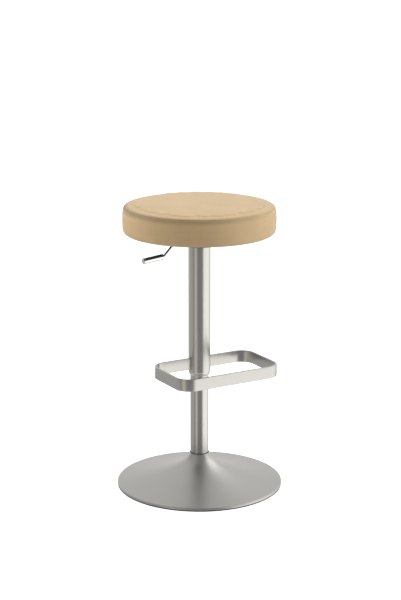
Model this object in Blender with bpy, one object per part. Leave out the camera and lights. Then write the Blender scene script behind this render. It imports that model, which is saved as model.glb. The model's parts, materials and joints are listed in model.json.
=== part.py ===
"""Adjustable swivel stool: round padded seat, gas-lift column, footrest loop and trumpet base.

Metres, +Z up, origin on the floor under the column's axis. The footrest points to -Y and the
lever to -X. The stool is drawn fully raised, the lever at rest.
"""

from math import cos, exp, hypot, pi, radians, sin

import bmesh
import bpy
from mathutils import Matrix, Vector

# ---------------------------------------------------------------- driving dimensions
GAP = 0.0003  # air between two pieces that touch on the real stool

BASE_RADIUS = 0.2312
RIM_TOP_Z = 0.0095
NECK_RADIUS = 0.0270
NECK_Z = 0.0900
FLARE_LENGTH = 0.145  # the skirt's height falls by 1/e over this radius
THROAT_LENGTH = 0.013  # and the throat's over this one
THROAT_SHARE = 0.22  # the throat's part of the rise
RIM_ROUND = 0.0030
SHELL_WALL = 0.0015
NECK_WALL = 0.0011
SHELL_DEPTH = 0.0022  # the shell's thickness measured upright
FLOOR_RING_HEIGHT = 0.0030
WEIGHT_RADIUS = 0.1780
SOCKET_FLANGE_RADIUS = 0.0600
SOCKET_TOP_Z = 0.0610

STAND_RADIUS = 0.0254
STAND_WALL = 0.0016
GUIDE_BUSH_BOTTOM_Z = 0.3600
COVER_RADIUS = 0.0306
COVER_WALL = 0.0015
COVER_BOTTOM_Z = 0.3225
COVER_MOUTH_RADIUS = 0.0283  # the cover's lower end is drawn in to this
COVER_MOUTH_WALL = 0.0008
COVER_BUSH_TOP_Z = 0.3700
COVER_RING_Z = (0.6600, 0.6740)

SEAT_BOTTOM_Z = 0.7215
SEAT_RADIUS = 0.2100
SEAT_SIDE_HEIGHT = 0.0750
SEAT_CROWN = 0.0060
COVER_SKIN = 0.0015
COVER_HEM_RADIUS = 0.1800
BOARD_THICKNESS = 0.0120
DUST_COVER_RADIUS = 0.1880

FOOTREST_WIDTH = 0.3120
FOOTREST_FRONT_Y = -0.1845
FOOTREST_CORNER = 0.0420
FOOTREST_BOTTOM_Z = 0.3353
FOOTREST_BAR = (0.0060, 0.0335)  # thickness, height

STROKE = 0.215  # how far the seat sinks
SOCKET_DEPTH = 0.0650  # lower end of the seat plate's taper socket, below the seat
STAND_TOP_Z = SEAT_BOTTOM_Z - SOCKET_DEPTH - STROKE - 0.0050  # the sunk socket stops 5 mm above it
LEVER_PIVOT_X = -0.030
LEVER_Z = SEAT_BOTTOM_Z - 0.0160
ROD_RADIUS = 0.0040
GRIP_START = Vector((-0.1130, 0, 0.6651))
GRIP_TIP = Vector((-0.1752, 0, 0.6587))
GRIP_RADIUS = 0.0081
GRIP_SOCKET_DEPTH = 0.0125

PRESSURE_RADIUS = 0.0140
PRESSURE_BOTTOM_Z = STROKE + 0.0600  # sunk, it stays clear of the bump stop
PRESSURE_TOP_Z = SEAT_BOTTOM_Z - 0.0300
PISTON_ROD_RADIUS = 0.0050
PISTON_Z = (0.2990, 0.3090)
PISTON_SEAL_Z = (0.3022, 0.3058)
BUMP_STOP_TOP_Z = 0.0560

PLATE_THICKNESS = 0.0025
PLATE_RADIUS = 0.1000
TAPER_SOCKET_RADIUS = 0.0185
BOLT_CIRCLE = 0.0870  # seat bolts, radius
SOCKET_BOLT_CIRCLE = 0.0450
THREAD_RADIUS = 0.0030  # M6
SOCKET_THREAD_RADIUS = 0.0040  # M8

ROUND_BIG, ROUND_TUBE, ROUND_SMALL, ROUND_BOLT = 48, 32, 16, 12  # facets round a turned piece


# ---------------------------------------------------------------- helpers
def clear_scene():
    for obj in list(bpy.data.objects):
        bpy.data.objects.remove(obj, do_unlink=True)


def finish_of(name, colour, roughness, metallic=0.0):
    made = bpy.data.materials.get(name)
    if made is None:
        made = bpy.data.materials.new(name)
        made.use_nodes = True
        shader = made.node_tree.nodes["Principled BSDF"]
        shader.inputs["Base Color"].default_value = (*colour, 1.0)
        shader.inputs["Roughness"].default_value = roughness
        shader.inputs["Metallic"].default_value = metallic
    return made


def satin_steel():
    return finish_of("satin_steel", (0.55, 0.53, 0.50), 0.45, 1.0)


def brushed_steel():
    return finish_of("brushed_steel", (0.62, 0.60, 0.57), 0.32, 1.0)


def chrome():
    return finish_of("chrome", (0.78, 0.78, 0.78), 0.08, 1.0)


def zinc_steel():
    return finish_of("zinc_steel", (0.60, 0.60, 0.62), 0.40, 1.0)


def black_steel():
    return finish_of("black_steel", (0.03, 0.03, 0.03), 0.50, 0.0)


def ballast_iron():
    return finish_of("ballast_iron", (0.10, 0.10, 0.10), 0.70, 1.0)


def black_rubber():
    return finish_of("black_rubber", (0.02, 0.02, 0.02), 0.80)


def white_plastic():
    return finish_of("white_plastic", (0.80, 0.80, 0.78), 0.40)


def black_plastic():
    return finish_of("black_plastic", (0.03, 0.03, 0.03), 0.45)


def plywood():
    return finish_of("plywood", (0.62, 0.45, 0.27), 0.65)


def foam():
    return finish_of("foam", (0.85, 0.80, 0.60), 0.90)


def brass():
    return finish_of("brass", (0.70, 0.50, 0.22), 0.35, 1.0)


def tan_leather():
    return finish_of("tan_leather", (0.60, 0.46, 0.29), 0.55)


def black_fabric():
    return finish_of("black_fabric", (0.02, 0.02, 0.02), 0.95)


def object_of(name, bm, finish, smooth_angle=35.0):
    bmesh.ops.recalc_face_normals(bm, faces=bm.faces)
    mesh = bpy.data.meshes.new(name)
    bm.to_mesh(mesh)
    bm.free()
    mesh.shade_smooth()
    mesh.set_sharp_from_angle(angle=radians(smooth_angle))
    mesh.materials.append(finish)
    obj = bpy.data.objects.new(name, mesh)
    bpy.context.scene.collection.objects.link(obj)
    return obj


def turned(name, outline, finish, facets=ROUND_SMALL):
    """A solid turned about Z from a closed outline of (radius, z) points."""
    bm = bmesh.new()
    ring = [bm.verts.new((radius, 0, z)) for radius, z in outline]
    edges = [bm.edges.new(pair) for pair in zip(ring, ring[1:] + ring[:1])]
    on_axis = [edge for edge in edges if all(abs(v.co.x) < 1e-7 for v in edge.verts)]
    bmesh.ops.delete(bm, geom=on_axis, context="EDGES")
    bmesh.ops.spin(
        bm,
        geom=list(bm.verts) + list(bm.edges),
        cent=(0, 0, 0),
        axis=(0, 0, 1),
        angle=2 * pi,
        steps=facets,
        use_merge=True,
    )
    bmesh.ops.remove_doubles(bm, verts=bm.verts, dist=1e-6)
    return object_of(name, bm, finish)


def sleeve(name, inner, outer, low, high, finish, facets=ROUND_SMALL):
    outline = [(outer, high), (outer, low), (inner, low), (inner, high)]
    return turned(name, outline, finish, facets)


def block(name, low, high, finish):
    bm = bmesh.new()
    size = Vector(high) - Vector(low)
    middle = (Vector(high) + Vector(low)) / 2
    place = Matrix.Translation(middle) @ Matrix.Diagonal((*size, 1))
    bmesh.ops.create_cube(bm, size=1, matrix=place)
    return object_of(name, bm, finish)


def rod_along(name, start, end, radius, finish, facets=ROUND_BOLT):
    """A plain round bar from start to end."""
    bm = bmesh.new()
    way = Vector(end) - Vector(start)
    turn = way.to_track_quat("Z", "Y").to_matrix().to_4x4()
    place = Matrix.Translation((Vector(start) + Vector(end)) / 2) @ turn
    bmesh.ops.create_cone(
        bm,
        cap_ends=True,
        segments=facets,
        radius1=radius,
        radius2=radius,
        depth=way.length,
        matrix=place,
    )
    return object_of(name, bm, finish)


def as_tool(obj):
    """A cutter, or a piece that is joined into another, isn't a piece itself."""
    obj.hide_render = True
    obj.display_type = "WIRE"
    return obj


def combine(target, tools, operation):
    for tool in tools:
        as_tool(tool)
        step = target.modifiers.new(operation.title(), "BOOLEAN")
        step.operation = operation
        step.solver = "EXACT"
        step.object = tool


def cut(target, *tools):
    combine(target, tools, "DIFFERENCE")


def join(target, *tools):
    combine(target, tools, "UNION")


def round_about(radius, count=4, first=45.0):
    """Places evenly spaced on a circle, as (x, y)."""
    turns = [radians(first + 360.0 * i / count) for i in range(count)]
    return [(radius * cos(turn), radius * sin(turn)) for turn in turns]


def quarter(centre, radius, start, end, steps):
    """Points on an arc in the outline plane, angles in degrees."""
    turns = [radians(start + (end - start) * i / steps) for i in range(steps + 1)]
    return [(centre[0] + radius * cos(t), centre[1] + radius * sin(t)) for t in turns]


def empty_at(name, place):
    empty = bpy.data.objects.new(name, None)
    empty.location = place
    empty.empty_display_size = 0.02
    bpy.context.scene.collection.objects.link(empty)
    return empty


def hang_on(parent, *children):
    """Parents pieces without moving them."""
    for child in children:
        child.parent = parent
        child.matrix_parent_inverse = Matrix.Translation(-parent.location)


# ---------------------------------------------------------------- base
def flare_z(radius):
    """Height of the trumpet's outer surface: a long skirt and a short, steep throat."""
    height = RIM_TOP_Z
    for length, share in ((FLARE_LENGTH, 1 - THROAT_SHARE), (THROAT_LENGTH, THROAT_SHARE)):
        last = exp(-(BASE_RADIUS - RIM_ROUND - NECK_RADIUS) / length)
        left = (exp(-(radius - NECK_RADIUS) / length) - last) / (1 - last)
        height += (NECK_Z - RIM_TOP_Z) * share * left
    return height


def flare_points(low, high, drop=0.0, steps=12):
    """Points down the flare, closer together near the neck."""
    radii = [low + (high - low) * (i / steps) ** 1.8 for i in range(steps + 1)]
    return [(radius, flare_z(radius) - drop) for radius in radii]


def base_pieces():
    rim_low = FLOOR_RING_HEIGHT + GAP
    shell_inside = BASE_RADIUS - SHELL_WALL
    neck_inside = NECK_RADIUS - NECK_WALL
    lip = quarter((BASE_RADIUS - RIM_ROUND, RIM_TOP_Z - RIM_ROUND), RIM_ROUND, 90, 0, 2)
    outer = flare_points(NECK_RADIUS, BASE_RADIUS - RIM_ROUND)[:-1]
    inner = flare_points(neck_inside, BASE_RADIUS - 2 * RIM_ROUND, SHELL_DEPTH)
    shell = outer + lip + [(BASE_RADIUS, rim_low), (shell_inside, rim_low)]
    shell += [(shell_inside, RIM_TOP_Z - RIM_ROUND)] + inner[::-1]
    turned("base_shell", shell, satin_steel(), ROUND_BIG)

    ring_outer = BASE_RADIUS - 0.0004
    ring_inner = ring_outer - 0.0060
    sleeve("floor_ring", ring_inner, ring_outer, 0, FLOOR_RING_HEIGHT, black_rubber(), ROUND_BIG)
    underlay_low, underlay_top = 0.0006, FLOOR_RING_HEIGHT
    sleeve("base_underlay", 0.0100, ring_inner - GAP, underlay_low, underlay_top, black_plastic(), ROUND_BIG)

    weight_low = underlay_top + GAP
    weight_high = weight_low + 0.0080
    weight_bore = 0.0120
    weight = turned(
        "base_weight",
        [
            (weight_bore, weight_high),
            (WEIGHT_RADIUS - 0.001, weight_high),
            (WEIGHT_RADIUS, weight_high - 0.001),
            (WEIGHT_RADIUS, weight_low),
            (weight_bore, weight_low),
        ],
        ballast_iron(),
        ROUND_TUBE,
    )

    flange_low = weight_high + GAP
    flange_high = flange_low + 0.0060
    ledge_z = flange_low + 0.0022
    bore = STAND_RADIUS + GAP
    socket_radius = STAND_RADIUS + 0.0045
    socket_eye = 0.0150
    socket = turned(
        "column_socket",
        [
            (socket_eye, flange_low),
            (SOCKET_FLANGE_RADIUS, flange_low),
            (SOCKET_FLANGE_RADIUS, flange_high),
            (socket_radius, flange_high),
            (socket_radius, SOCKET_TOP_Z),
            (bore, SOCKET_TOP_Z),
            (bore, ledge_z),
            (socket_eye, ledge_z),
        ],
        zinc_steel(),
        ROUND_TUBE,
    )

    head_low, head_high = weight_low + GAP, weight_low + 0.0045
    head_radius = 0.0065
    shank_end = flange_high - 0.0005
    for i, (x, y) in enumerate(round_about(SOCKET_BOLT_CIRCLE), start=1):
        shank_hole = rod_along(
            f"shank_hole_{i}", (x, y, -0.01), (x, y, 0.04), SOCKET_THREAD_RADIUS + GAP, zinc_steel()
        )
        head_hole = rod_along(
            f"head_hole_{i}", (x, y, -0.01), (x, y, head_high + GAP), head_radius + 0.0005, zinc_steel()
        )
        cut(weight, shank_hole, head_hole)
        cut(socket, shank_hole)
        bolt = turned(
            f"socket_bolt_{i}",
            [
                (0, shank_end),
                (SOCKET_THREAD_RADIUS, shank_end),
                (SOCKET_THREAD_RADIUS, head_high),
                (head_radius, head_high),
                (head_radius, head_low),
                (0, head_low),
            ],
            zinc_steel(),
            ROUND_BOLT,
        )
        bolt.location = (x, y, 0)

    gasket_low = NECK_Z + GAP
    gasket_high = gasket_low + 0.0012
    turned(
        "neck_ring",
        [
            (bore, gasket_high),
            (NECK_RADIUS - 0.0006, gasket_high),
            (NECK_RADIUS - 0.0002, gasket_low),
            (bore, gasket_low),
        ],
        black_rubber(),
        ROUND_TUBE,
    )

    tube_low = ledge_z + GAP
    tube_bore = STAND_RADIUS - STAND_WALL
    sleeve("stand_tube", tube_bore, STAND_RADIUS, tube_low, STAND_TOP_Z, brushed_steel(), ROUND_TUBE)
    plate_low = tube_low + 0.0010
    plate_high = plate_low + 0.0040
    sleeve("tube_end_plate", 0.0046, tube_bore - GAP, plate_low, plate_high, zinc_steel())
    bush_bore = PRESSURE_RADIUS + GAP
    turned(
        "guide_bush",
        [
            (bush_bore, STAND_TOP_Z + 0.0020),
            (STAND_RADIUS - 0.0005, STAND_TOP_Z + 0.0020),
            (STAND_RADIUS - 0.0002, STAND_TOP_Z + GAP),
            (tube_bore - GAP, STAND_TOP_Z + GAP),
            (tube_bore - GAP, GUIDE_BUSH_BOTTOM_Z),
            (bush_bore, GUIDE_BUSH_BOTTOM_Z),
        ],
        black_plastic(),
        ROUND_TUBE,
    )
    return plate_low, plate_high


# ---------------------------------------------------------------- swivel bearing and gas spring rod
def bearing_pieces(plate_high):
    """Lower race on the tube's end plate, a cage of balls and the upper race. Returns the top."""
    ball_radius, ball_circle = 0.0020, 0.0095
    race_inner, race_outer, race_thickness = 0.0050, 0.0140, 0.0020
    low = plate_high + GAP
    sleeve("bearing_race_lower", race_inner, race_outer, low, low + race_thickness, chrome())
    ball_z = low + race_thickness + GAP + ball_radius
    cage = sleeve("ball_cage", 0.0058, 0.0132, ball_z - 0.0007, ball_z + 0.0007, brass())
    balls = []
    for i, (x, y) in enumerate(round_about(ball_circle, 8, 0.0), start=1):
        bm = bmesh.new()
        place = Matrix.Translation((x, y, ball_z))
        bmesh.ops.create_icosphere(bm, subdivisions=1, radius=ball_radius, matrix=place)
        balls.append(object_of(f"ball_{i}", bm, chrome()))
    join(cage, *balls)
    race_low = ball_z + ball_radius + GAP
    race_top = race_low + race_thickness
    race = sleeve("bearing_race_upper", race_inner, race_outer, race_low, race_top, chrome())
    return cage, race, race_top


def rotor_pieces(plate_low, race_top):
    """The rod that hangs in the bearing, with the piston on its upper end."""
    journal = 0.0042
    washer_low = race_top + GAP
    washer_high = washer_low + 0.0018
    washer = sleeve("rod_washer", journal + GAP, 0.0180, washer_low, washer_high, zinc_steel())
    shoulder_z = washer_high + GAP

    piston_low, piston_high = PISTON_Z
    spigot = 0.0035
    clip_low, clip_high = plate_low - 0.0021, plate_low - GAP
    groove = 0.0034
    rod_end = clip_low - 0.0020
    rod = turned(
        "piston_rod",
        [
            (0, piston_high + 0.0022),
            (PISTON_ROD_RADIUS - 0.0004, piston_high + 0.0022),
            (PISTON_ROD_RADIUS, piston_high + 0.0015),
            (PISTON_ROD_RADIUS, piston_high + GAP),
            (spigot, piston_high + GAP),
            (spigot, piston_low - GAP),
            (PISTON_ROD_RADIUS, piston_low - GAP),
            (PISTON_ROD_RADIUS, shoulder_z),
            (journal, shoulder_z),
            (journal, clip_high + GAP),
            (groove, clip_high + GAP),
            (groove, clip_low - GAP),
            (journal, clip_low - GAP),
            (journal - 0.0005, rod_end),
            (0, rod_end),
        ],
        chrome(),
    )
    clip = sleeve("retaining_clip", groove + GAP, 0.0072, clip_low, clip_high, black_steel())

    seal_low, seal_high = PISTON_SEAL_Z
    piston_radius, seal_groove = 0.0104, 0.0088
    piston = turned(
        "piston",
        [
            (spigot + GAP, piston_high),
            (piston_radius - 0.0004, piston_high),
            (piston_radius, piston_high - 0.0006),
            (piston_radius, seal_high),
            (seal_groove, seal_high),
            (seal_groove, seal_low),
            (piston_radius, seal_low),
            (piston_radius, piston_low),
            (spigot + GAP, piston_low),
        ],
        zinc_steel(),
    )
    seal = sleeve(
        "piston_seal",
        seal_groove + GAP,
        piston_radius + 0.0002,
        seal_low + GAP,
        seal_high - GAP,
        black_rubber(),
    )

    stop_low = washer_high + GAP
    stop_radius, stop_waist = 0.0125, 0.0110
    stop = turned(
        "bump_stop",
        [
            (PISTON_ROD_RADIUS + GAP, BUMP_STOP_TOP_Z),
            (stop_waist, BUMP_STOP_TOP_Z),
            (stop_radius, BUMP_STOP_TOP_Z - 0.0015),
            (stop_radius, BUMP_STOP_TOP_Z - 0.0080),
            (stop_waist, BUMP_STOP_TOP_Z - 0.0105),
            (stop_radius, BUMP_STOP_TOP_Z - 0.0130),
            (stop_radius, stop_low),
            (PISTON_ROD_RADIUS + GAP, stop_low),
        ],
        black_rubber(),
    )
    return [rod, washer, clip, piston, seal, stop]


# ---------------------------------------------------------------- carriage: gas spring tube and column cover
def taper_radius(z):
    """The pressure tube's head, a slight cone that jams in the seat plate's socket."""
    low, high = SEAT_BOTTOM_Z - SOCKET_DEPTH, PRESSURE_TOP_Z
    share = min(max((z - low) / (high - low), 0.0), 1.0)
    return PRESSURE_RADIUS - 0.0006 * share


def gas_spring_pieces():
    lip = 0.0085
    wall_inside, head_inside = 0.0125, 0.0118
    end_wall = 0.0015
    swage_z = SEAT_BOTTOM_Z - 0.0740
    cone_low = SEAT_BOTTOM_Z - SOCKET_DEPTH
    tube = turned(
        "pressure_tube",
        [
            (lip, PRESSURE_TOP_Z),
            (taper_radius(PRESSURE_TOP_Z) - 0.0012, PRESSURE_TOP_Z),
            (taper_radius(PRESSURE_TOP_Z), PRESSURE_TOP_Z - 0.0012),
            (PRESSURE_RADIUS, cone_low),
            (PRESSURE_RADIUS, PRESSURE_BOTTOM_Z + 0.0012),
            (PRESSURE_RADIUS - 0.0012, PRESSURE_BOTTOM_Z),
            (lip, PRESSURE_BOTTOM_Z),
            (lip, PRESSURE_BOTTOM_Z + end_wall),
            (wall_inside, PRESSURE_BOTTOM_Z + end_wall),
            (wall_inside, swage_z),
            (head_inside, swage_z + 0.0040),
            (head_inside, PRESSURE_TOP_Z - end_wall),
            (lip, PRESSURE_TOP_Z - end_wall),
        ],
        black_steel(),
    )
    snug = wall_inside - GAP
    seal_low = PRESSURE_BOTTOM_Z + end_wall + GAP
    seal_high = seal_low + 0.0045
    rod_bore = PISTON_ROD_RADIUS + GAP
    seal = sleeve("rod_seal", rod_bore, snug, seal_low, seal_high, black_rubber())
    guide_low = seal_high + GAP
    guide_high = guide_low + 0.0130
    guide = sleeve("rod_guide", rod_bore, snug, guide_low, guide_high, brass())
    liner = sleeve("inner_cylinder", 0.0108, 0.0116, guide_high + GAP, swage_z - GAP, zinc_steel())
    pin_radius, valve_radius, valve_stem = 0.0038, 0.0112, 0.0095
    valve_low, valve_high = swage_z + 0.0045, PRESSURE_TOP_Z - end_wall - GAP
    valve = turned(
        "valve_body",
        [
            (pin_radius + GAP, valve_high),
            (valve_radius, valve_high),
            (valve_radius, valve_low + 0.0100),
            (valve_stem, valve_low + 0.0090),
            (valve_stem, valve_low),
            (pin_radius + GAP, valve_low),
        ],
        brass(),
    )
    pin_top = LEVER_Z - ROD_RADIUS - 0.0004
    pin_low = pin_top - 0.0260
    pin = turned(
        "valve_pin",
        [
            (0, pin_top),
            (0.0020, pin_top - 0.0003),
            (pin_radius, pin_top - 0.0015),
            (pin_radius, pin_low),
            (0, pin_low),
        ],
        chrome(),
    )
    return [tube, seal, guide, liner, valve], pin


def column_cover_pieces():
    inside = COVER_RADIUS - COVER_WALL
    top_z = SEAT_BOTTOM_Z - 0.0325
    low = COVER_BOTTOM_Z
    mouth_inside = COVER_MOUTH_RADIUS - COVER_MOUTH_WALL
    shoulder = low + 0.0090
    cover = turned(
        "column_cover",
        [
            (inside, top_z),
            (COVER_RADIUS, top_z),
            (COVER_RADIUS, shoulder),
            (COVER_RADIUS - 0.0006, low + 0.0050),
            (COVER_RADIUS - 0.0014, low + 0.0020),
            (COVER_MOUTH_RADIUS, low),
            (mouth_inside, low),
            (mouth_inside, low + 0.0015),
            (inside, shoulder),
        ],
        brushed_steel(),
        ROUND_TUBE,
    )
    bore = STAND_RADIUS + GAP
    lip_radius = COVER_MOUTH_RADIUS - 0.0004
    lip_low = low - 0.0035
    bush = turned(
        "cover_bush",
        [
            (bore, COVER_BUSH_TOP_Z),
            (inside - GAP, COVER_BUSH_TOP_Z),
            (inside - GAP, shoulder + 0.0010),
            (mouth_inside - GAP, low + 0.0016),
            (mouth_inside - GAP, low - GAP),
            (lip_radius, low - GAP),
            (lip_radius, lip_low + 0.0005),
            (lip_radius - 0.0005, lip_low),
            (bore, lip_low),
        ],
        white_plastic(),
        ROUND_TUBE,
    )
    ring_bore = TAPER_SOCKET_RADIUS + GAP
    ring = sleeve("cover_ring", ring_bore, inside - GAP, *COVER_RING_Z, zinc_steel(), ROUND_TUBE)
    return [cover, bush, ring]


def footrest_piece():
    """A flat bar bent to a rounded rectangle, its two ends meeting the column's left and right side."""
    thickness, height = FOOTREST_BAR
    half = FOOTREST_WIDTH / 2
    front, back = FOOTREST_FRONT_Y, thickness / 2
    corners = ((1, back, 90, 0), (1, front, 0, -90), (-1, front, -90, -180), (-1, back, 180, 90))
    steps = 6

    def loop(inset):
        radius = FOOTREST_CORNER - inset
        points = []
        for side, edge, start, end in corners:
            centre_y = edge + FOOTREST_CORNER * (1 if edge == front else -1)
            centre = (side * (half - FOOTREST_CORNER), centre_y)
            points += quarter(centre, radius, start, end, steps)
        end_x = COVER_RADIUS + GAP + 0.0001
        return [(end_x, back - inset), *points, (-end_x, back - inset)]

    bm = bmesh.new()
    low, high = FOOTREST_BOTTOM_Z, FOOTREST_BOTTOM_Z + height
    rows = []
    for outer, inner in zip(loop(0.0), loop(thickness)):
        places = ((*outer, high), (*inner, high), (*inner, low), (*outer, low))
        rows.append([bm.verts.new(place) for place in places])
    for here, there in zip(rows, rows[1:]):
        for i in range(4):
            j = (i + 1) % 4
            bm.faces.new((here[i], here[j], there[j], there[i]))
    bm.faces.new(rows[0])
    bm.faces.new(rows[-1][::-1])
    return object_of("footrest", bm, brushed_steel())


# ---------------------------------------------------------------- carriage: seat plate and mechanism
def seat_plate_pieces():
    def z(depth):
        return SEAT_BOTTOM_Z - depth

    flange_top, web_top, socket_low = 0.0016, 0.0285, SOCKET_DEPTH
    flange_low, web_low = flange_top + PLATE_THICKNESS, web_top + PLATE_THICKNESS
    plate = turned(
        "seat_plate",
        [
            (PLATE_RADIUS, z(flange_top)),
            (PLATE_RADIUS, z(flange_low)),
            (0.0757, z(flange_low)),
            (0.0655, z(web_low)),
            (TAPER_SOCKET_RADIUS, z(web_low)),
            (TAPER_SOCKET_RADIUS, z(socket_low)),
            (taper_radius(z(socket_low)) + GAP, z(socket_low)),
            (taper_radius(z(web_top)) + GAP, z(web_top)),
            (0.0640, z(web_top)),
            (0.0740, z(flange_top)),
        ],
        black_steel(),
        ROUND_TUBE,
    )
    slot_half = 0.0058
    slot = block(
        "lever_slot", (-0.0850, -slot_half, z(0.0275)), (-0.0550, slot_half, z(0.0050)), black_steel()
    )
    cut(plate, slot)

    pin_z = LEVER_Z
    pin_radius = 0.0025
    ear_in, ear_out = 0.0106, 0.0126
    low = z(web_top) + GAP
    left, right = LEVER_PIVOT_X - 0.0080, LEVER_PIVOT_X + 0.0080
    high = pin_z + 0.0060
    bracket = block("lever_bracket", (left, -ear_out, low), (right, ear_out, high), zinc_steel())
    room = block(
        "bracket_room",
        (left - 0.01, -ear_in, low + 0.0018),
        (right + 0.01, ear_in, high + 0.01),
        zinc_steel(),
    )
    hole = rod_along(
        "pin_hole",
        (LEVER_PIVOT_X, -0.03, pin_z),
        (LEVER_PIVOT_X, 0.03, pin_z),
        pin_radius + GAP,
        zinc_steel(),
    )
    cut(bracket, room, hole)
    pin = turned(
        "lever_pin",
        [
            (0, ear_out + 0.0018),
            (0.0040, ear_out + 0.0018),
            (0.0040, ear_out + GAP),
            (pin_radius, ear_out + GAP),
            (pin_radius, -ear_out - 0.0015),
            (0, -ear_out - 0.0015),
        ],
        zinc_steel(),
    )
    pin.matrix_world = Matrix.Translation((LEVER_PIVOT_X, 0, pin_z)) @ Matrix.Rotation(-pi / 2, 4, "X")
    return plate, [plate, bracket, pin], z(flange_top), z(flange_low)


def seat_pieces(plate, flange_top, flange_low):
    z0 = SEAT_BOTTOM_Z
    dust_low, dust_high = flange_top + GAP, z0 - GAP
    dust = sleeve("dust_cover", 0.0720, DUST_COVER_RADIUS, dust_low, dust_high, black_fabric(), ROUND_TUBE)

    board_low = z0 + COVER_SKIN + GAP
    board_high = board_low + BOARD_THICKNESS
    board_radius = SEAT_RADIUS - 0.0140
    board = turned(
        "seat_board",
        [(0, board_high), (board_radius, board_high), (board_radius, board_low), (0, board_low)],
        plywood(),
        ROUND_TUBE,
    )

    nut_flange, nut_barrel = 0.0100, 0.0048
    flange_floor = board_high - 0.0018
    pieces = [dust, board]
    for i, (x, y) in enumerate(round_about(BOLT_CIRCLE), start=1):
        shank_hole = rod_along(
            f"bolt_hole_{i}", (x, y, z0 - 0.02), (x, y, board_low + 0.001), THREAD_RADIUS + GAP, plywood()
        )
        barrel_hole = rod_along(
            f"barrel_hole_{i}", (x, y, board_low - 0.005), (x, y, z0 + 0.03), nut_barrel + GAP, plywood()
        )
        sunk = rod_along(
            f"sunk_flange_{i}", (x, y, flange_floor), (x, y, z0 + 0.03), nut_flange + GAP, plywood()
        )
        cut(plate, shank_hole)
        cut(dust, shank_hole)
        cut(board, barrel_hole, sunk)
        nut = turned(
            f"t_nut_{i}",
            [
                (THREAD_RADIUS + GAP, board_high - GAP),
                (nut_flange, board_high - GAP),
                (nut_flange, flange_floor + GAP),
                (nut_barrel, flange_floor + GAP),
                (nut_barrel, board_low + 0.0010),
                (THREAD_RADIUS + GAP, board_low + 0.0010),
            ],
            zinc_steel(),
            ROUND_BOLT,
        )
        bolt = turned(
            f"seat_bolt_{i}",
            [
                (0, board_high - 0.0010),
                (THREAD_RADIUS, board_high - 0.0010),
                (THREAD_RADIUS, flange_low - GAP),
                (0.0055, flange_low - GAP),
                (0.0055, flange_low - 0.0042),
                (0, flange_low - 0.0042),
            ],
            zinc_steel(),
            ROUND_BOLT,
        )
        nut.location = bolt.location = (x, y, 0)
        pieces += [nut, bolt]

    side_top = z0 + SEAT_SIDE_HEIGHT

    def cushion_outline(inset, low):
        """Half a boxed cushion: rounded bottom edge, upright side, rounded top edge and a crown."""
        radius = SEAT_RADIUS - inset
        top_round, low_round = 0.0180, 0.0070
        crown = [
            ((radius - top_round) * t, side_top + SEAT_CROWN * (1 - t * t) - inset) for t in (0, 0.55)
        ]
        upper = quarter((radius - top_round, side_top - inset - top_round), top_round, 90, 0, 3)
        lower = quarter((radius - low_round, low + low_round), low_round, 0, -90, 2)
        return crown + upper + lower

    skin_out = cushion_outline(0.0, z0)
    skin_in = cushion_outline(COVER_SKIN, z0 + COVER_SKIN)
    hem = [(COVER_HEM_RADIUS, z0), (COVER_HEM_RADIUS, z0 + COVER_SKIN)]
    outline = skin_out + hem + skin_in[::-1]
    skin = turned("seat_cover", outline, tan_leather(), ROUND_BIG)

    core = [p for p in cushion_outline(COVER_SKIN + GAP, z0) if p[1] > board_high + 0.004]
    core_radius = SEAT_RADIUS - COVER_SKIN - GAP
    core += [(core_radius, board_high + GAP), (0, board_high + GAP)]
    filling = turned("seat_foam", core, foam(), ROUND_BIG)
    return [*pieces, skin, filling]


# ---------------------------------------------------------------- lever
def bar_through(name, places, radius, finish, facets=ROUND_BOLT):
    """A round bar along a line of places in the XZ plane, mitred at each bend."""
    bm = bmesh.new()
    rings = []
    for i, place in enumerate(places):
        before = (place - places[i - 1]).normalized() if i else None
        after = (places[i + 1] - place).normalized() if i + 1 < len(places) else None
        first, second = before or after, after or before
        way = (first + second).normalized()
        across = Vector((0, 1, 0))
        up = way.cross(across) / way.dot(first)
        turns = [2 * pi * k / facets for k in range(facets)]
        rings.append([bm.verts.new(place + radius * (across * cos(t) + up * sin(t))) for t in turns])
    for here, there in zip(rings, rings[1:]):
        for k in range(facets):
            m = (k + 1) % facets
            bm.faces.new((here[k], here[m], there[m], there[k]))
    bm.faces.new(rings[0])
    bm.faces.new(rings[-1][::-1])
    return object_of(name, bm, finish)


def rounded_route(corners, radius, steps=3):
    """The corners of a route with each inner one replaced by an arc."""
    route = [corners[0]]
    for before, here, after in zip(corners, corners[1:], corners[2:]):
        back, on = (before - here).normalized(), (after - here).normalized()
        half = back.angle(on) / 2
        reach = radius / abs(sin(half) / cos(half))
        middle = here + (back + on).normalized() * hypot(radius, reach)
        first = (here + back * reach - middle).normalized()
        last = (here + on * reach - middle).normalized()
        for i in range(steps + 1):
            route.append(middle + radius * first.slerp(last, i / steps))
    return [*route, corners[-1]]


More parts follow.
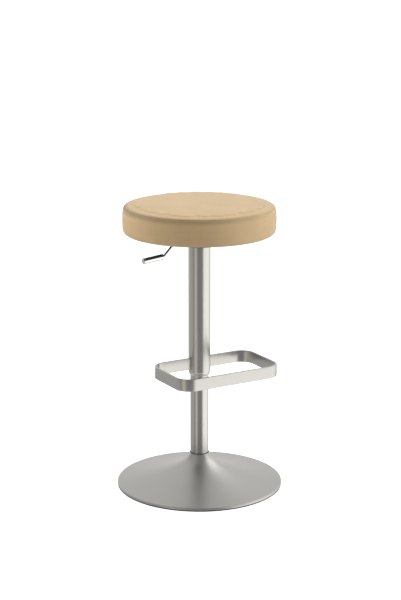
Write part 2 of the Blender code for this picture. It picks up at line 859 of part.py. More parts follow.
def lever_pieces():
    grip_way = (GRIP_TIP - GRIP_START).normalized()
    elbow = GRIP_START - grip_way * 0.0028
    knee = Vector((elbow.x + LEVER_Z - elbow.z, 0, LEVER_Z))  # the rod rises at 45 degrees
    corners = [Vector((0.0035, 0, LEVER_Z)), knee, elbow, GRIP_START + grip_way * 0.012]
    rod = bar_through("lever_rod", rounded_route(corners, 0.006), ROD_RADIUS, chrome())
    pivot = (LEVER_PIVOT_X, 0, LEVER_Z)
    boss = rod_along(
        "pivot_boss", (pivot[0], -0.0100, pivot[2]), (pivot[0], 0.0100, pivot[2]), 0.0058, chrome()
    )
    hole = rod_along(
        "pivot_hole", (pivot[0], -0.03, pivot[2]), (pivot[0], 0.03, pivot[2]), 0.0028, chrome()
    )
    join(rod, boss)
    cut(rod, hole)

    length = (GRIP_TIP - GRIP_START).length
    nose = quarter((GRIP_RADIUS - 0.003, length - 0.003), 0.003, 90, 0, 3)
    heel = quarter((GRIP_RADIUS - 0.002, 0.002), 0.002, 0, -90, 2)
    socket = ROD_RADIUS + GAP
    grip = turned(
        "lever_grip",
        [(0, length), *nose, *heel, (socket, 0), (socket, GRIP_SOCKET_DEPTH), (0, GRIP_SOCKET_DEPTH)],
        chrome(),
    )
    turn = grip_way.to_track_quat("Z", "Y").to_matrix().to_4x4()
    grip.matrix_world = Matrix.Translation(GRIP_START) @ turn
    return [rod, grip]


# ---------------------------------------------------------------- assembly
def build():
    clear_scene()
    plate_low, plate_high = base_pieces()
    cage, race, race_top = bearing_pieces(plate_high)
    rotor = rotor_pieces(plate_low, race_top)
    spring, valve_pin = gas_spring_pieces()
    column = column_cover_pieces()
    plate, mechanism, flange_top, flange_low = seat_plate_pieces()
    seat = seat_pieces(plate, flange_top, flange_low)
    lever = lever_pieces()

    cage_axis = empty_at("cage_axis", (0, 0, 0))
    rotor_axis = empty_at("swivel_axis", (0, 0, 0))
    carriage_axis = empty_at("height_axis", (0, 0, 0))
    lever_axis = empty_at("lever_axis", (LEVER_PIVOT_X, 0, LEVER_Z))
    hang_on(cage_axis, cage)
    hang_on(rotor_axis, race, *rotor)
    hang_on(carriage_axis, *spring, *column, footrest_piece(), *mechanism, *seat, valve_pin)
    hang_on(lever_axis, *lever)
    hang_on(rotor_axis, carriage_axis)
    hang_on(carriage_axis, lever_axis)


build()
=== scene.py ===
"""Looks of the adjustable swivel stool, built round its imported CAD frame.

Metres, +Z up. The footrest points to -Y and the lever to -X. The upholstery is a cloth
simulation of the padded cover; the metal pieces are turned, swept and bevelled again at a
finer resolution than the CAD solids, on the same profiles.
"""

import json
from math import atan2, ceil, cos, exp, pi, radians, sin, tan

import bmesh
import bpy
from mathutils import Matrix, Vector, noise
from mathutils.bvhtree import BVHTree


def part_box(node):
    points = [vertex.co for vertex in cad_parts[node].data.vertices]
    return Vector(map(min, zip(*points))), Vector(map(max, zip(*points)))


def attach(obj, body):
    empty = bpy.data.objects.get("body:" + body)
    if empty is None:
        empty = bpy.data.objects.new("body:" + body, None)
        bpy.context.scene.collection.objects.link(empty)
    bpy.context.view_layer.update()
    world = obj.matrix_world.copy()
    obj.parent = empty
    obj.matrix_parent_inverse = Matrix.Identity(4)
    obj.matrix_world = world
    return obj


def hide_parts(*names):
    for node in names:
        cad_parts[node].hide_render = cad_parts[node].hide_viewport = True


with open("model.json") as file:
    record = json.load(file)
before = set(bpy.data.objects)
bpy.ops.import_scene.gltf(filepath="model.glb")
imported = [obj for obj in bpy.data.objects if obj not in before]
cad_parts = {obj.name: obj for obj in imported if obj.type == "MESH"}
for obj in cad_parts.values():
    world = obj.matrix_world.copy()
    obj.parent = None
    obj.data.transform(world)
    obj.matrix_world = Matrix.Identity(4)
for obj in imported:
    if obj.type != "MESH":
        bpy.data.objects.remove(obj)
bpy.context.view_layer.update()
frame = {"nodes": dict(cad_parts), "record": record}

# ---------------------------------------------------------------- sizes, from the frame
MM = 0.001
ROUND = 192  # faces round a big turned piece
ROUND_SMALL = 96
ON_AXIS = 1e-6  # a smaller radius counts as none

shell_low, shell_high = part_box("base_shell")
BASE_RADIUS = shell_high.x
RIM_LOW_Z = shell_low.z
NECK_Z = shell_high.z
RIM_TOP_Z = RIM_LOW_Z + 6.2 * MM
NECK_RADIUS = 27.0 * MM
FLARE_LENGTH = 145 * MM  # the skirt's height falls by 1/e over this radius
THROAT_LENGTH = 13 * MM  # and the throat's over this one
THROAT_SHARE = 0.22  # the throat's part of the rise
RIM_ROUND = 3 * MM  # radius of the rim's upper edge

STAND_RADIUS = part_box("stand_tube")[1].x
STAND_LOW_Z, STAND_TOP_Z = (corner.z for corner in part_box("stand_tube"))
COVER_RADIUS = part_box("column_cover")[1].x
COVER_LOW_Z, COVER_TOP_Z = (corner.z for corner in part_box("column_cover"))

SEAT_LOW_Z, SEAT_TOP_Z = (corner.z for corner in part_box("seat_cover"))
BOARD_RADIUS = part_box("seat_board")[1].x
BOARD_TOP_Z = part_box("seat_board")[1].z
SEAM = (204.5 * MM, 795.0 * MM)  # radius and height of the seam between top panel and side band


# ---------------------------------------------------------------- mesh helpers
def piece_of(name, bm, finish, sharp=40.0):
    """Turns a bmesh into a smooth-shaded object with one material."""
    bmesh.ops.recalc_face_normals(bm, faces=bm.faces)
    mesh = bpy.data.meshes.new(name)
    bm.to_mesh(mesh)
    bm.free()
    mesh.shade_smooth()
    mesh.set_sharp_from_angle(angle=radians(sharp))
    mesh.materials.append(finish)
    obj = bpy.data.objects.new(name, mesh)
    bpy.context.scene.collection.objects.link(obj)
    return obj


def arc(centre, radius, start, end, steps):
    """Points on an arc in the outline plane, angles in degrees."""
    turns = [radians(start + (end - start) * i / steps) for i in range(steps + 1)]
    return [(centre[0] + radius * cos(t), centre[1] + radius * sin(t)) for t in turns]


def eased(outline, steps=4):
    """A closed outline of (x, y, rounding) points with each corner eased by its own radius."""
    points = []
    for before, here, after in zip(outline[-1:] + outline[:-1], outline, outline[1:] + outline[:1]):
        corner, rounding = Vector(here[:2]), here[2]
        if rounding == 0:
            points.append(tuple(corner))
            continue
        back = (Vector(before[:2]) - corner).normalized()
        on = (Vector(after[:2]) - corner).normalized()
        half = back.angle(on) / 2
        reach = rounding / tan(half)
        middle = corner + (back + on).normalized() * (rounding / sin(half))
        first, last = corner + back * reach - middle, corner + on * reach - middle
        start = atan2(first.y, first.x)
        sweep = (atan2(last.y, last.x) - start + pi) % (2 * pi) - pi
        for i in range(steps + 1):
            turn = start + sweep * i / steps
            points.append((middle.x + rounding * cos(turn), middle.y + rounding * sin(turn)))
    return points


def ring_at(bm, radius, z, faces):
    """A level ring of vertices round the Z axis, or one vertex on the axis."""
    if radius < ON_AXIS:
        return [bm.verts.new((0, 0, z))]
    turns = [2 * pi * k / faces for k in range(faces)]
    return [bm.verts.new((radius * cos(t), radius * sin(t), z)) for t in turns]


def bridge(bm, here, there):
    """Faces between two rows of vertices, either of which may be a single vertex."""
    count = max(len(here), len(there))
    if count == 1:
        return
    for k in range(count):
        m = (k + 1) % count
        corners = [here[k % len(here)], here[m % len(here)], there[m % len(there)], there[k % len(there)]]
        bm.faces.new(list(dict.fromkeys(corners)))


def turned(name, outline, finish, faces=ROUND, place=None):
    """A closed solid turned about Z from a closed outline of (radius, z) points."""
    bm = bmesh.new()
    rings = [ring_at(bm, radius, z, faces) for radius, z in outline]
    for here, there in zip(rings, rings[1:] + rings[:1]):
        bridge(bm, here, there)
    if place is not None:
        bmesh.ops.transform(bm, matrix=place, verts=bm.verts)
    return piece_of(name, bm, finish)


def swept(name, route, section, sideways, finish, closed=False):
    """Sweeps a closed section of (sideways, up) points along a route of (place, way) pairs.

    sideways(way) gives the section's first axis; up is at right angles to it and to the way.
    """
    bm = bmesh.new()
    rows = []
    for place, way in route:
        side = sideways(way).normalized()
        up = side.cross(way).normalized()
        rows.append([bm.verts.new(place + side * a + up * b) for a, b in section])
    pairs = list(zip(rows, rows[1:] + rows[:1])) if closed else list(zip(rows, rows[1:]))
    for here, there in pairs:
        bridge(bm, here, there)
    if not closed:
        bm.faces.new(rows[0])
        bm.faces.new(rows[-1][::-1])
    return piece_of(name, bm, finish)


def along_x(way):
    return Vector((1, 0, 0))


def along_y(way):
    return Vector((0, 1, 0))


def round_section(radius, points):
    turns = [2 * pi * k / points for k in range(points)]
    return [(radius * cos(t), radius * sin(t)) for t in turns]


def bent_route(corners, radius, steps=10):
    """A route through corners, each inner one replaced by an arc, as (place, way) pairs."""
    places = [corners[0]]
    for before, here, after in zip(corners, corners[1:], corners[2:]):
        back, on = (before - here).normalized(), (after - here).normalized()
        half = back.angle(on) / 2
        middle = here + (back + on).normalized() * (radius / sin(half))
        reach = radius / tan(half)
        first = (here + back * reach - middle).normalized()
        last = (here + on * reach - middle).normalized()
        places += [middle + radius * first.slerp(last, i / steps) for i in range(steps + 1)]
    places.append(corners[-1])
    ways = []
    for i in range(len(places)):
        ahead, behind = places[min(i + 1, len(places) - 1)], places[max(i - 1, 0)]
        ways.append((ahead - behind).normalized())
    return list(zip(places, ways))


def joined(target, *others):
    """Moves the others' meshes into the target's, as one piece."""
    bm = bmesh.new()
    for obj in (target, *others):
        bm.from_mesh(obj.data)
    bm.to_mesh(target.data)
    bm.free()
    for obj in others:
        bpy.data.objects.remove(obj)
    return target


def applied(obj):
    """Replaces the object's mesh by its evaluated one, and drops the modifiers."""
    graph = bpy.context.evaluated_depsgraph_get()
    mesh = bpy.data.meshes.new_from_object(obj.evaluated_get(graph))
    obj.modifiers.clear()
    obj.data = mesh
    return obj


def cut_by(obj, *cutters):
    for cutter in cutters:
        step = obj.modifiers.new("Cut", "BOOLEAN")
        step.operation = "DIFFERENCE"
        step.solver = "EXACT"
        step.object = cutter
    applied(obj)
    for cutter in cutters:
        bpy.data.objects.remove(cutter)
    obj.data.set_sharp_from_angle(angle=radians(40))
    return obj


def seats_on(obj, body, slot, *nodes):
    """Rides on a body and stands for the CAD nodes named; the slot argument is not used."""
    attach(obj, body)
    if nodes:
        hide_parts(*nodes)
    return obj


# ---------------------------------------------------------------- material helpers
class Nodes:
    """Short names for building a node tree."""

    def __init__(self, tree):
        self.tree = tree

    def add(self, kind, inputs=None, **settings):
        node = self.tree.nodes.new(kind)
        for key, value in settings.items():
            setattr(node, key, value)
        for key, value in (inputs or {}).items():
            self.feed(node.inputs[key], value)
        return node

    def feed(self, socket, value):
        if isinstance(value, bpy.types.NodeSocket):
            self.tree.links.new(value, socket)
        else:
            socket.default_value = value

    def math(self, operation, *values):
        node = self.add("ShaderNodeMath", operation=operation)
        for socket, value in zip(node.inputs, values):
            self.feed(socket, value)
        return node.outputs[0]

    def vector(self, operation, *values, output="Vector"):
        node = self.add("ShaderNodeVectorMath", dict(enumerate(values)), operation=operation)
        return node.outputs[output]

    def dimmed(self, colour, share):
        """A colour times a factor."""
        node = self.add("ShaderNodeVectorMath", {0: colour, "Scale": share}, operation="SCALE")
        return node.outputs["Vector"]

    def ranged(self, value, low, high, to_low, to_high, curve="LINEAR"):
        inputs = {"Value": value, "From Min": low, "From Max": high, "To Min": to_low, "To Max": to_high}
        return self.add("ShaderNodeMapRange", inputs, interpolation_type=curve).outputs["Result"]

    def noise(self, vector, scale, detail=3.0, roughness=0.5):
        inputs = {"Vector": vector, "Scale": scale, "Detail": detail, "Roughness": roughness}
        return self.add("ShaderNodeTexNoise", inputs).outputs["Fac"]

    def stretched(self, vector, scale):
        return self.add("ShaderNodeMapping", {"Vector": vector, "Scale": scale}).outputs["Vector"]

    def tinted(self, factor, dark, light):
        """Mixes two colours; a mix node keeps its colour sockets after those for other kinds."""
        mix = self.add("ShaderNodeMix", {0: factor, 6: (*dark, 1.0), 7: (*light, 1.0)}, data_type="RGBA")
        return mix.outputs[2]

    def bump(self, height, strength, distance, normal=None):
        inputs = {"Height": height, "Strength": strength, "Distance": distance}
        if normal is not None:
            inputs["Normal"] = normal
        return self.add("ShaderNodeBump", inputs).outputs["Normal"]


def new_finish(name, **constants):
    """A material with its node helper, its Principled shader and the object coordinates."""
    made = bpy.data.materials.new(name)
    made.use_nodes = True
    shader = made.node_tree.nodes["Principled BSDF"]
    for socket, value in constants.items():
        shader.inputs[socket.replace("_", " ")].default_value = value
    nodes = Nodes(made.node_tree)
    place = nodes.add("ShaderNodeTexCoord").outputs["Object"]
    return made, nodes, shader, place


def scaled(colour, share):
    return tuple(channel * share for channel in colour)


def brushed_metal(name, colour, roughness, lines=(25, 25, 2400), anisotropy=0.0, spun=False, marks=0.05):
    """Fine polishing lines: level ones on upright faces, or rings round the axis when spun."""
    made, nodes, shader, place = new_finish(name, Metallic=1.0, Anisotropic=anisotropy)
    if spun:
        flat = nodes.vector("MULTIPLY", place, (1, 1, 0))
        reach = nodes.vector("LENGTH", flat, output="Value")
        parts = nodes.add("ShaderNodeSeparateXYZ", {0: place})
        inputs = {"X": parts.outputs["X"], "Y": parts.outputs["Y"], "Z": reach}
        place_for_lines = nodes.add("ShaderNodeCombineXYZ", inputs).outputs[0]
    else:
        place_for_lines = place
    fine = nodes.noise(nodes.stretched(place_for_lines, lines), 1.0, detail=4.0, roughness=0.65)
    cloudy = nodes.noise(place, 22.0, detail=3.0)
    wear = nodes.noise(nodes.stretched(place_for_lines, scaled(lines, 0.16)), 1.0, detail=2.0)
    shade = nodes.math("ADD", nodes.math("MULTIPLY", fine, 0.7), nodes.math("MULTIPLY", cloudy, 0.3))
    tone = nodes.ranged(shade, 0.3, 0.7, 0.0, 1.0)
    tint = nodes.tinted(tone, scaled(colour, 1 - marks), scaled(colour, 1 + marks))
    nodes.feed(shader.inputs["Base Color"], tint)
    spread = nodes.math("ADD", nodes.math("MULTIPLY", fine, 0.04), nodes.math("MULTIPLY", wear, 0.03))
    nodes.feed(shader.inputs["Roughness"], nodes.math("ADD", spread, roughness - 0.035))
    nodes.feed(shader.inputs["Normal"], nodes.bump(fine, 0.02, 0.00002))
    if anisotropy:
        tangent = nodes.add("ShaderNodeTangent", direction_type="RADIAL", axis="Z")
        nodes.feed(shader.inputs["Tangent"], tangent.outputs["Tangent"])
        shader.inputs["Anisotropic Rotation"].default_value = 0.25
    return made


def polished_metal(name, colour, roughness):
    """Bright plating: almost even, with faint haze and orange peel."""
    made, nodes, shader, place = new_finish(name, Metallic=1.0)
    haze = nodes.noise(place, 60.0, detail=4.0)
    peel = nodes.noise(place, 450.0, detail=2.0)
    nodes.feed(shader.inputs["Base Color"], nodes.tinted(haze, scaled(colour, 0.96), scaled(colour, 1.02)))
    nodes.feed(shader.inputs["Roughness"], nodes.ranged(haze, 0.3, 0.7, roughness * 0.7, roughness * 1.4))
    nodes.feed(shader.inputs["Normal"], nodes.bump(peel, 0.06, 0.00005))
    return made


def dull_metal(name, colour, roughness, metallic=1.0):
    """Plated, painted or cast metal: mottled, with a grainy surface."""
    made, nodes, shader, place = new_finish(name, Metallic=metallic)
    mottle = nodes.noise(place, 90.0, detail=5.0, roughness=0.6)
    grain = nodes.noise(place, 1500.0, detail=3.0)
    nodes.feed(shader.inputs["Base Color"], nodes.tinted(mottle, scaled(colour, 0.82), scaled(colour, 1.15)))
    nodes.feed(shader.inputs["Roughness"], nodes.ranged(mottle, 0.3, 0.7, roughness - 0.07, roughness + 0.07))
    nodes.feed(shader.inputs["Normal"], nodes.bump(grain, 0.25, 0.00008))
    return made


def moulded(name, colour, roughness, grain_scale=1800.0):
    """Rubber or plastic out of a finely textured mould."""
    made, nodes, shader, place = new_finish(name)
    dust = nodes.noise(place, 70.0, detail=4.0)
    grain = nodes.noise(place, grain_scale, detail=2.0)
    nodes.feed(shader.inputs["Base Color"], nodes.tinted(dust, scaled(colour, 0.9), scaled(colour, 1.12)))
    nodes.feed(shader.inputs["Roughness"], nodes.ranged(dust, 0.3, 0.7, roughness - 0.05, roughness + 0.06))
    nodes.feed(shader.inputs["Normal"], nodes.bump(grain, 0.3, 0.00006))
    return made


def plywood_finish():
    """Veneer grain along X, and the plies as bands on the edge."""
    made, nodes, shader, place = new_finish("plywood")
    grain = nodes.noise(nodes.stretched(place, (12, 260, 260)), 1.0, detail=5.0, roughness=0.6)
    waves = {"Vector": place, "Scale": 160.0, "Distortion": 0.4}
    plies = nodes.add("ShaderNodeTexWave", waves, bands_direction="Z")
    wood = nodes.tinted(nodes.ranged(grain, 0.3, 0.7, 0, 1), (0.42, 0.28, 0.15), (0.64, 0.47, 0.29))
    edge = nodes.ranged(plies.outputs["Fac"], 0.2, 0.8, 0.75, 1.0)
    nodes.feed(shader.inputs["Base Color"], nodes.dimmed(wood, edge))
    nodes.feed(shader.inputs["Roughness"], nodes.ranged(grain, 0.3, 0.7, 0.55, 0.75))
    nodes.feed(shader.inputs["Normal"], nodes.bump(grain, 0.3, 0.0002))
    return made


def fabric_finish():
    """The spun-bonded cloth under the seat: crossed fibres and a grid of bonded dimples."""
    made, nodes, shader, place = new_finish("black_fabric", Sheen_Weight=0.3)
    fibres = nodes.noise(nodes.stretched(place, (300, 1800, 1)), 1.0, detail=4.0)
    cross = nodes.noise(nodes.stretched(place, (1800, 300, 1)), 1.0, detail=4.0)
    web = nodes.math("MULTIPLY", fibres, cross)
    dimples = nodes.add("ShaderNodeTexVoronoi", {"Vector": place, "Scale": 420.0, "Randomness": 0.15})
    height = nodes.math("ADD", web, nodes.ranged(dimples.outputs["Distance"], 0.0, 0.35, 0.0, 0.5))
    nodes.feed(shader.inputs["Base Color"], nodes.tinted(web, (0.010, 0.010, 0.011), (0.060, 0.060, 0.062)))
    nodes.feed(shader.inputs["Roughness"], nodes.ranged(web, 0.1, 0.5, 0.95, 0.8))
    nodes.feed(shader.inputs["Normal"], nodes.bump(height, 0.6, 0.0003))
    return made


def painted_seam_shade(nodes, place):
    """How much painted shade darkens the leather's colour in the fold under the seam, strongest towards the
    lever and fading towards +X.
    """
    parts = nodes.add("ShaderNodeSeparateXYZ", {0: place})
    seam_z = SEAM[1]
    fading = nodes.ranged(parts.outputs["Z"], seam_z - 18 * MM, seam_z - 4 * MM, 0.0, 1.0, "SMOOTHSTEP")
    ending = nodes.ranged(parts.outputs["Z"], seam_z, seam_z + 2 * MM, 1.0, 0.0, "SMOOTHSTEP")
    sideways = nodes.ranged(parts.outputs["X"], -0.12, 0.17, 0.36, 0.04, "SMOOTHSTEP")
    return nodes.math("MULTIPLY", nodes.math("MULTIPLY", fading, ending), sideways)


def leather_finish(name, colour):
    """Pale leather: a pebbled grain, faint level streaks in the dye, a soft nap, and painted shade in the
    fold under the seam.
    """
    made, nodes, shader, place = new_finish(
        name, Sheen_Weight=0.08, Sheen_Roughness=0.45, Specular_IOR_Level=0.65
    )
    cells = {"Vector": place, "Scale": 820.0, "Randomness": 0.9}
    pebbles = nodes.add("ShaderNodeTexVoronoi", cells, feature="DISTANCE_TO_EDGE")
    creases = nodes.ranged(pebbles.outputs["Distance"], 0.0, 0.12, 0.0, 1.0, "SMOOTHSTEP")
    pores = nodes.noise(place, 2600.0, detail=2.0)
    streaks = nodes.noise(nodes.stretched(place, (9, 9, 260)), 1.0, detail=4.0, roughness=0.6)
    top_streaks = nodes.noise(nodes.stretched(place, (14, 150, 30)), 1.0, detail=4.0, roughness=0.6)
    cloud = nodes.noise(place, 14.0, detail=4.0)
    dye = nodes.math("ADD", nodes.math("MULTIPLY", streaks, 0.35), nodes.math("MULTIPLY", cloud, 0.35))
    dye = nodes.math("ADD", dye, nodes.math("MULTIPLY", top_streaks, 0.30))
    dye = nodes.ranged(dye, 0.36, 0.64, 0.0, 1.0)
    tone = nodes.tinted(dye, scaled(colour, 0.94), scaled(colour, 1.05))
    grained = nodes.dimmed(tone, nodes.ranged(creases, 0.0, 1.0, 0.93, 1.0))
    # painted shade: the colour is darkened in the fold just under the seam, most towards the lever
    seam_shaded = nodes.dimmed(grained, nodes.math("SUBTRACT", 1.0, painted_seam_shade(nodes, place)))
    nodes.feed(shader.inputs["Base Color"], seam_shaded)
    nodes.feed(shader.inputs["Roughness"], nodes.ranged(dye, 0.0, 1.0, 0.52, 0.44))
    height = nodes.math("ADD", nodes.math("MULTIPLY", creases, 0.7), nodes.math("MULTIPLY", pores, 0.3))
    nodes.feed(shader.inputs["Normal"], nodes.bump(height, 0.22, 0.00022))
    return made


STEEL = (0.600, 0.585, 0.560)
SATIN = brushed_metal("satin_steel", (0.535, 0.522, 0.50), 0.40, (10, 10, 1900), 0.30, spun=True, marks=0.03)
TUBE = brushed_metal("brushed_steel", STEEL, 0.29, anisotropy=0.30, marks=0.02)
BAR = brushed_metal("footrest_steel", scaled(STEEL, 0.93), 0.30, marks=0.025)
FINISHES = {
    "satin_steel": SATIN,
    "brushed_steel": TUBE,
    "footrest_steel": BAR,
    "chrome": polished_metal("chrome", (0.80, 0.80, 0.79), 0.07),
    "zinc_steel": dull_metal("zinc_steel", (0.58, 0.58, 0.60), 0.40),
    "black_steel": dull_metal("black_steel", (0.030, 0.030, 0.032), 0.48, metallic=0.0),
    "ballast_iron": dull_metal("ballast_iron", (0.10, 0.095, 0.09), 0.70),
    "brass": brushed_metal("brass", (0.70, 0.50, 0.22), 0.33),
    "black_rubber": moulded("black_rubber", (0.020, 0.020, 0.021), 0.75),
    "white_plastic": moulded("white_plastic", (0.72, 0.71, 0.69), 0.42),
    "black_plastic": moulded("black_plastic", (0.028, 0.028, 0.030), 0.45),
    "plywood": plywood_finish(),
    "foam": moulded("foam", (0.80, 0.72, 0.48), 0.92, grain_scale=700.0),
    "tan_leather": leather_finish("tan_leather", (0.635, 0.447, 0.232)),
    "black_fabric": fabric_finish(),
}


def dress_frame():
    """Gives every CAD node the finish of its slot in the record."""
    for part in frame["record"]["subparts"]:
        for slot in frame["nodes"][part["node"]].material_slots:
            slot.material = FINISHES[part["material_slot"]]


# ---------------------------------------------------------------- base
def flare_z(radius):
    """Height of the trumpet's outer surface, as in the CAD model."""
    height = RIM_TOP_Z
    for length, share in ((FLARE_LENGTH, 1 - THROAT_SHARE), (THROAT_LENGTH, THROAT_SHARE)):
        last = exp(-(BASE_RADIUS - RIM_ROUND - NECK_RADIUS) / length)
        left = (exp(-(radius - NECK_RADIUS) / length) - last) / (1 - last)
        height += (NECK_Z - RIM_TOP_Z) * share * left
    return height


def flare_points(low, high, steps, drop=0.0):
    """(radius, z) points on the trumpet's curve, closer together towards the neck."""
    crowding = 1.8
    radii = [low + (high - low) * (i / steps) ** crowding for i in range(steps + 1)]
    return [(radius, flare_z(radius) - drop) for radius in radii]


def make_base():
    wall = 1.5 * MM
    edge = 0.3 * MM
    outer = flare_points(NECK_RADIUS, BASE_RADIUS - RIM_ROUND, 52)
    outer[0] = (NECK_RADIUS, NECK_Z - edge)
    top = (NECK_RADIUS - edge, NECK_Z)
    nose = arc((BASE_RADIUS - RIM_ROUND, RIM_TOP_Z - RIM_ROUND), RIM_ROUND, 90, 0, 8)[1:]
    foot = [(BASE_RADIUS, RIM_LOW_Z + edge), (BASE_RADIUS - edge, RIM_LOW_Z), (BASE_RADIUS - wall, RIM_LOW_Z)]
    inner = flare_points(NECK_RADIUS - 1.1 * MM, BASE_RADIUS - 2 * RIM_ROUND, 26, 2.2 * MM)
    outline = [top, *outer, *nose, *foot, (BASE_RADIUS - wall, RIM_TOP_Z - RIM_ROUND), *inner[::-1]]
    shell = turned("trumpet_base", outline, SATIN)
    seats_on(shell, "base", "satin_steel", "base_shell")

    low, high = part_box("floor_ring")
    inside = high.x - 6 * MM
    ring_outline = eased(
        [
            (high.x, high.z, 0.3 * MM),
            (high.x, low.z, 0.9 * MM),
            (inside, low.z, 0.9 * MM),
            (inside, high.z, 0.3 * MM),
        ]
    )
    ring = turned("floor_ring_moulding", ring_outline, FINISHES["black_rubber"])
    seats_on(ring, "base", "black_rubber", "floor_ring")

    low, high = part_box("neck_ring")
    bore = STAND_RADIUS + 0.3 * MM
    neck_outline = eased(
        [
            (bore, high.z, 0.2 * MM),
            (high.x, high.z, 0.5 * MM),
            (high.x, low.z, 0.15 * MM),
            (bore, low.z, 0.15 * MM),
        ]
    )
    neck = turned("neck_seal", neck_outline, FINISHES["black_rubber"], ROUND_SMALL)
    seats_on(neck, "base", "black_rubber", "neck_ring")


# ---------------------------------------------------------------- column
def make_column():
    wall = 1.6 * MM
    edge = 0.5 * MM
    tube_outline = eased(
        [
            (STAND_RADIUS, STAND_TOP_Z, edge),
            (STAND_RADIUS, STAND_LOW_Z, edge),
            (STAND_RADIUS - wall, STAND_LOW_Z, edge),
            (STAND_RADIUS - wall, STAND_TOP_Z, edge),
        ]
    )
    tube = turned("stand_tube_brushed", tube_outline, TUBE, ROUND_SMALL)
    seats_on(tube, "base", "brushed_steel", "stand_tube")

    low = COVER_LOW_Z
    inside = COVER_RADIUS - 1.5 * MM
    mouth, mouth_inside = 28.3 * MM, 27.5 * MM
    shoulder = low + 9 * MM
    cover_outline = eased(
        [
            (inside, COVER_TOP_Z, edge),
            (COVER_RADIUS, COVER_TOP_Z, edge),
            (COVER_RADIUS, shoulder - 1.5 * MM, 5 * MM),
            (COVER_RADIUS - 1.0 * MM, low + 3.0 * MM, 2.5 * MM),
            (mouth, low, 0.3 * MM),
            (mouth_inside, low, 0),
            (mouth_inside, low + 1.5 * MM, 0),
            (inside, shoulder, 0),
        ],
        steps=6,
    )
    cover = turned("column_cover_brushed", cover_outline, TUBE, ROUND_SMALL)
    seats_on(cover, "carriage", "brushed_steel", "column_cover")

    bore = STAND_RADIUS + 0.3 * MM
    bush_low, bush_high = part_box("cover_bush")
    lip_radius = mouth - 0.4 * MM
    neck = mouth_inside - 0.3 * MM
    bush_outline = eased(
        [
            (bore, bush_high.z, 0),
            (inside - 0.3 * MM, bush_high.z, 0),
            (inside - 0.3 * MM, shoulder + 1.0 * MM, 0),
            (neck, low + 1.6 * MM, 0),
            (neck, low - 0.3 * MM, 0),
            (lip_radius, low - 0.3 * MM, 0.3 * MM),
            (lip_radius, bush_low.z, 1.0 * MM),
            (bore, bush_low.z, 0.4 * MM),
        ]
    )
    bush = turned("slide_bush", bush_outline, FINISHES["white_plastic"], ROUND_SMALL)
    seats_on(bush, "carriage", "white_plastic", "cover_bush")


# ---------------------------------------------------------------- footrest
def make_footrest():
    """The flat bar's loop with eased edges, and a weld bead round each of its two ends."""
    low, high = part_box("footrest")
    thickness = 6 * MM
    half_width, corner = high.x, 42 * MM
    front, back = low.y, thickness / 2
    end_x = COVER_RADIUS + 0.4 * MM
    middle_z, half_height = (low.z + high.z) / 2, (high.z - low.z) / 2

    centre_radius = corner - thickness / 2
    route = [(Vector((end_x, 0, middle_z)), Vector((1, 0, 0)))]
    arcs = (
        (1, back - corner, 90, 0),
        (1, front + corner, 0, -90),
        (-1, front + corner, -90, -180),
        (-1, back - corner, 180, 90),
    )
    steps = 18
    for side, centre_y, start, end in arcs:
        centre = Vector((side * (half_width - corner), centre_y, middle_z))
        for i in range(steps + 1):
            turn = radians(start + (end - start) * i / steps)
            out = Vector((cos(turn), sin(turn), 0))
            route.append((centre + out * centre_radius, Vector((sin(turn), -cos(turn), 0))))
    route.append((Vector((-end_x, 0, middle_z)), Vector((1, 0, 0))))

    edge = 1.1 * MM
    half = thickness / 2
    corners = ((half, half_height), (half, -half_height), (-half, -half_height), (-half, half_height))
    section = eased([(a, b, edge) for a, b in corners])

    def outward(way):
        return Vector((-way.y, way.x, 0))

    bar = swept("footrest_loop", route, section, outward, BAR)

    beads = []
    bead = round_section(1.5 * MM, 10)
    rim = eased([(a * 1.12, b * 1.02, edge * 1.2) for a, b in corners], 3)
    for side in (1, -1):
        places = []
        for a, b in rim:
            reach = (COVER_RADIUS**2 - a**2) ** 0.5 + 0.3 * MM
            places.append(Vector((side * reach, a, middle_z + b)))
        loop = []
        for i, place in enumerate(places):
            loop.append((place, (places[(i + 1) % len(places)] - places[i - 1]).normalized()))
        beads.append(swept(f"weld_bead_{side}", loop, bead, along_x, BAR, closed=True))
    joined(bar, *beads)
    seats_on(bar, "carriage", "footrest_steel", "footrest")


